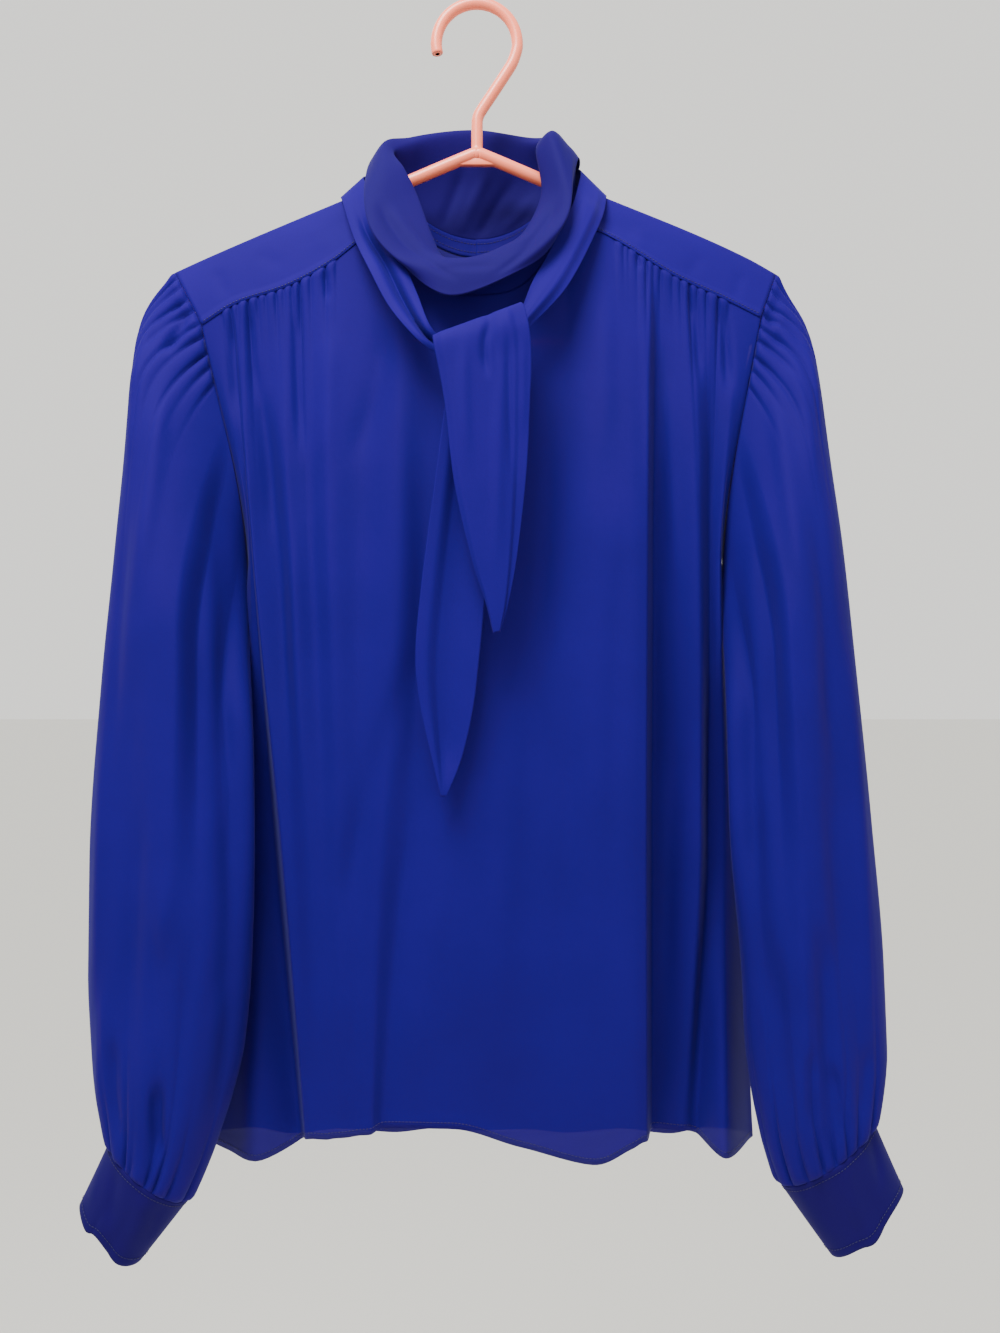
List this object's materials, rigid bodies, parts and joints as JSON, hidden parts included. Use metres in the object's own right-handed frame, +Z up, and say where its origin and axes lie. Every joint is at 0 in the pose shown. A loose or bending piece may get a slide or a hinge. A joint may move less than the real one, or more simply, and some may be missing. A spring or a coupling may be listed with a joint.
{
  "type": "tie neck blouse on a hanger",
  "caption": "Long-sleeved tie neck blouse with a draped collar, gathered front, bishop sleeves and band cuffs, hung on a tubular hanger.",
  "frame": {"origin": "inner top of the hanger's hook, where it rests on a rail or wall hook", "axes": "+Z up, the blouse's front faces -Y, +X to the right as seen from the front"},
  "size_m": [0.5254, 0.119, 0.8318],
  "materials": {
    "georgette": "matte, slightly sheer woven crepe",
    "doubled_georgette": "matte woven crepe, doubled",
    "hanger_plastic": "smooth moulded",
    "button_plastic": "polished"
  },
  "bodies": {
    "root": {"front": "georgette", "back": "georgette", "yoke_left": "doubled_georgette", "yoke_right": "doubled_georgette", "sleeve_left": "georgette", "sleeve_right": "georgette", "cuff_left": "doubled_georgette", "cuff_right": "doubled_georgette", "neck_band": "doubled_georgette", "neck_button": "button_plastic", "collar": "doubled_georgette", "tie_left": "doubled_georgette", "tie_right": "doubled_georgette", "tie_knot": "doubled_georgette", "tail_front": "doubled_georgette", "tail_rear": "doubled_georgette", "hanger": "hanger_plastic"}
  },
  "joints": []
}
